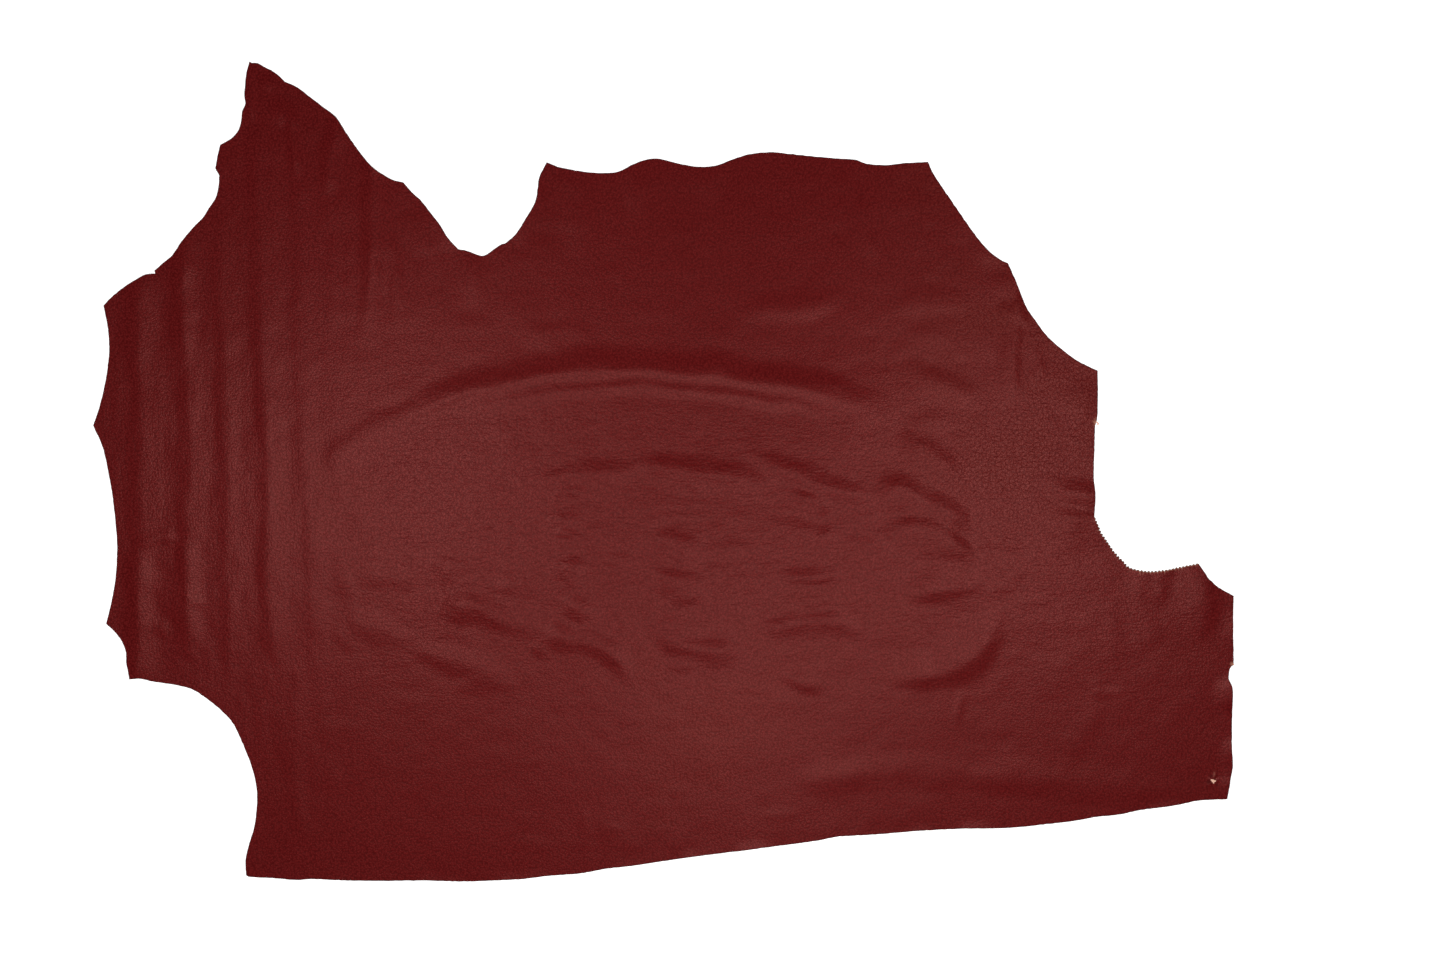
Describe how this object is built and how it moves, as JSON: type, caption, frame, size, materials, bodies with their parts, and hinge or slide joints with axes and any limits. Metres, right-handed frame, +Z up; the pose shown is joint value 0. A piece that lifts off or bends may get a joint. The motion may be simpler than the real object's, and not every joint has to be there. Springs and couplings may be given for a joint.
{
  "type": "cowhide leather piece",
  "caption": "Side of burgundy pebble-grain cowhide, cut along the back line and laid flat grain side up, with soft folds from storage and a short pinked edge.",
  "frame": {"origin": "middle of the sheet's box, on the plane that it lies on", "axes": "+X along the back line from the hind end to the neck, +Y from the back line to the belly, +Z up, out of the grain side"},
  "size_m": [1.8244, 1.3119, 0.005],
  "materials": {
    "leather": "pebble grain with a low satin sheen"
  },
  "bodies": {
    "root": {"hide": "leather"}
  },
  "joints": []
}
